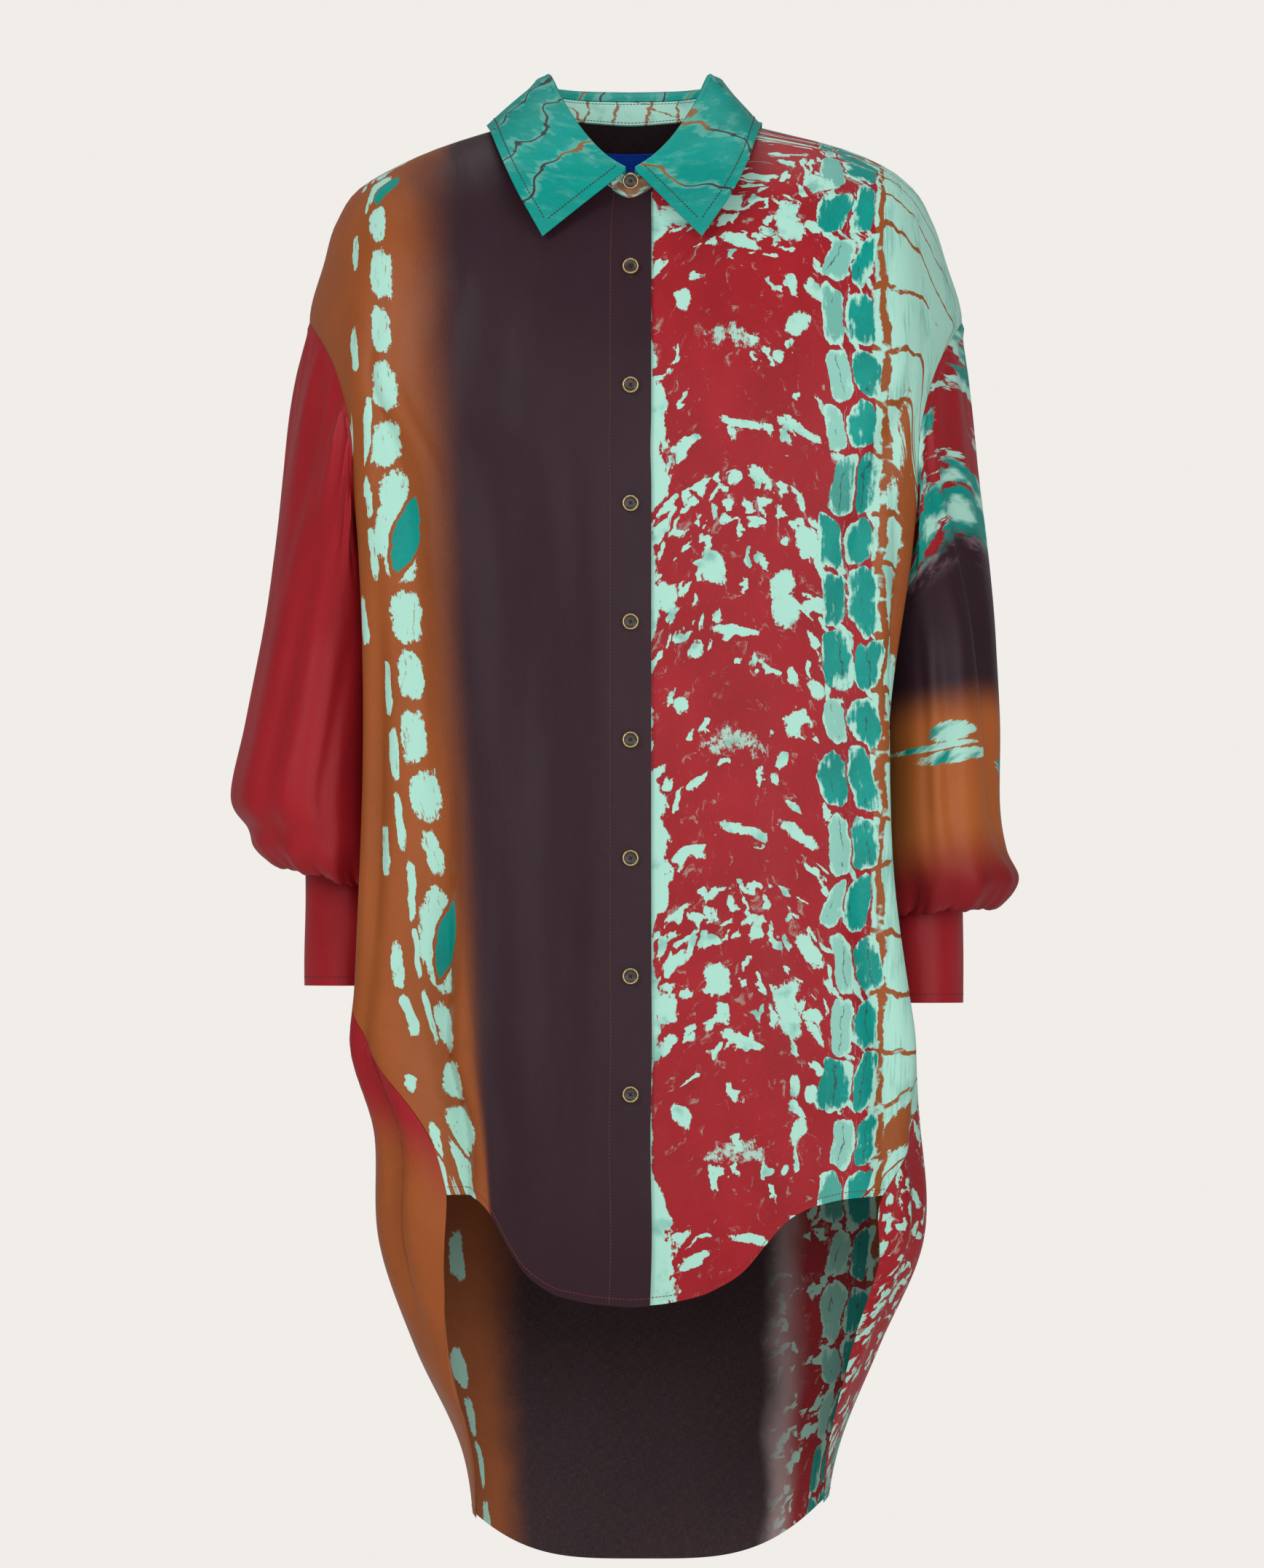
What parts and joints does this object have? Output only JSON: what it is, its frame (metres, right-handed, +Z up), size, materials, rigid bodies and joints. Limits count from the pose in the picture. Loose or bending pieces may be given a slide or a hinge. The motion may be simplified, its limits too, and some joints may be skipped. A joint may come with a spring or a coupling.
{
  "type": "silk shirt",
  "caption": "Long loose silk shirt filled out as if worn: pointed collar, buttoned front, full sleeves in deep cuffs, curved hem longer behind.",
  "frame": {"origin": "midway between the two shoulder points of the neck, at their height, where the shirt rests on the shoulders of whoever wears it", "axes": "+Z up, -Y the way the wearer faces, +X the wearer's left"},
  "size_m": [0.5994, 0.3159, 1.1272],
  "materials": {
    "right_front_silk": "satin silk, aubergine shading into rust with mint blotches",
    "left_front_silk": "satin silk, red with mint and turquoise resist dyeing",
    "back_silk": "satin silk, rust, aubergine and red bands with mint blotches",
    "right_sleeve_silk": "plain red satin silk",
    "left_sleeve_silk": "satin silk, bands of mint and red, aubergine, rust and red",
    "cuff_silk": "plain red satin silk",
    "stand_silk": "mint satin silk with fine rust lines",
    "collar_silk": "turquoise satin silk with dark veins, edge stitched",
    "label_satin": "bare blue woven satin",
    "button_brass": "aged brass rim round a dark sunk middle with four holes"
  },
  "bodies": {
    "root": {"right_front": "right_front_silk", "left_front": "left_front_silk", "back": "back_silk", "right_sleeve": "right_sleeve_silk", "left_sleeve": "left_sleeve_silk", "right_cuff": "cuff_silk", "left_cuff": "cuff_silk", "collar_band": "stand_silk", "collar": "collar_silk", "neck_label": "label_satin", "button_1": "button_brass", "button_2": "button_brass", "button_3": "button_brass", "button_4": "button_brass", "button_5": "button_brass", "button_6": "button_brass", "button_7": "button_brass", "button_8": "button_brass", "button_collar": "button_brass"}
  },
  "joints": []
}
